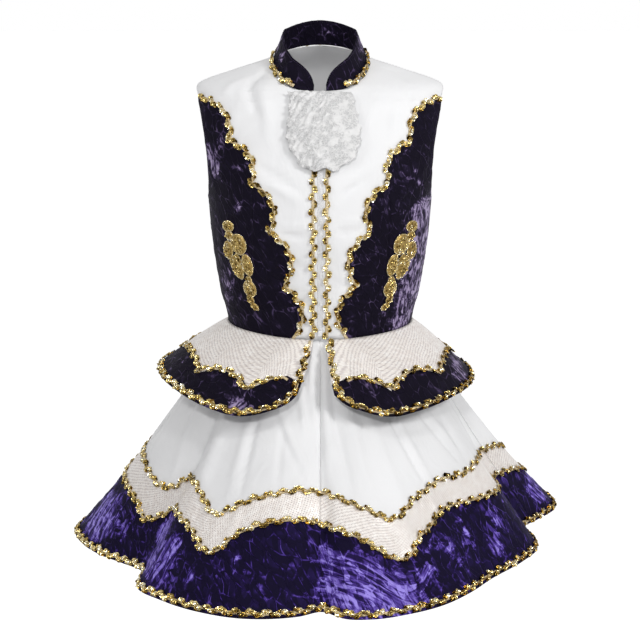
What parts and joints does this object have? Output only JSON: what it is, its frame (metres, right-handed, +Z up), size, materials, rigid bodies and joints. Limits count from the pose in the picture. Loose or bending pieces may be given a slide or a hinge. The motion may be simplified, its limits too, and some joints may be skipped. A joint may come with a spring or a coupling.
{
  "type": "color guard dress",
  "caption": "Sleeveless dress with a stand collar, lace jabot, split peplum and full flared skirt in satin, mesh and crushed velvet, edged with gold sequin trim.",
  "frame": {"origin": "midway between the shoulder tips, level with the dress's shoulders, where the wearer's shoulders carry it", "axes": "+Z up out of the collar, -Y out of the front of the dress, +X to the dress's left side, which is a viewer's right"},
  "size_m": [0.7499, 0.7168, 0.7791],
  "materials": {
    "satin_white": "satin",
    "velvet_plum": "crushed velvet",
    "velvet_violet": "crushed velvet",
    "mesh_cream": "metallic mesh",
    "lace_white": "crinkled lace",
    "sequin_gold": "polished sequins",
    "applique_gold": "beads and sequins",
    "zip_white": "woven tape",
    "zip_plastic": "gloss"
  },
  "bodies": {
    "root": {"front_satin_left": "satin_white", "front_velvet_left": "velvet_plum", "side_velvet_left": "velvet_plum", "back_velvet_left": "velvet_plum", "front_satin_right": "satin_white", "front_velvet_right": "velvet_plum", "side_velvet_right": "velvet_plum", "back_velvet_right": "velvet_plum", "back_satin": "satin_white", "collar": "velvet_plum", "trim_collar": "sequin_gold", "jabot": "lace_white", "zip_tape": "zip_white", "zip_box": "zip_plastic", "zip_slider": "zip_plastic", "applique_left": "applique_gold", "peplum_mesh_left": "mesh_cream", "peplum_velvet_left": "velvet_plum", "applique_right": "applique_gold", "peplum_mesh_right": "mesh_cream", "peplum_velvet_right": "velvet_plum", "trim_peplum_join": "sequin_gold", "trim_peplum_edge": "sequin_gold", "skirt_satin_front_left": "satin_white", "skirt_mesh_front_left": "mesh_cream", "skirt_velvet_front_left": "velvet_violet", "skirt_satin_front_right": "satin_white", "skirt_mesh_front_right": "mesh_cream", "skirt_velvet_front_right": "velvet_violet", "skirt_satin_back_right": "satin_white", "skirt_mesh_back_right": "mesh_cream", "skirt_velvet_back_right": "velvet_violet", "skirt_satin_back_left": "satin_white", "skirt_mesh_back_left": "mesh_cream", "skirt_velvet_back_left": "velvet_violet", "trim_skirt_upper": "sequin_gold", "trim_skirt_lower": "sequin_gold", "trim_skirt_hem": "sequin_gold", "trim_front_left": "sequin_gold", "trim_back_left": "sequin_gold", "trim_centre_left": "sequin_gold", "trim_front_right": "sequin_gold", "trim_back_right": "sequin_gold", "trim_centre_right": "sequin_gold"}
  },
  "joints": []
}
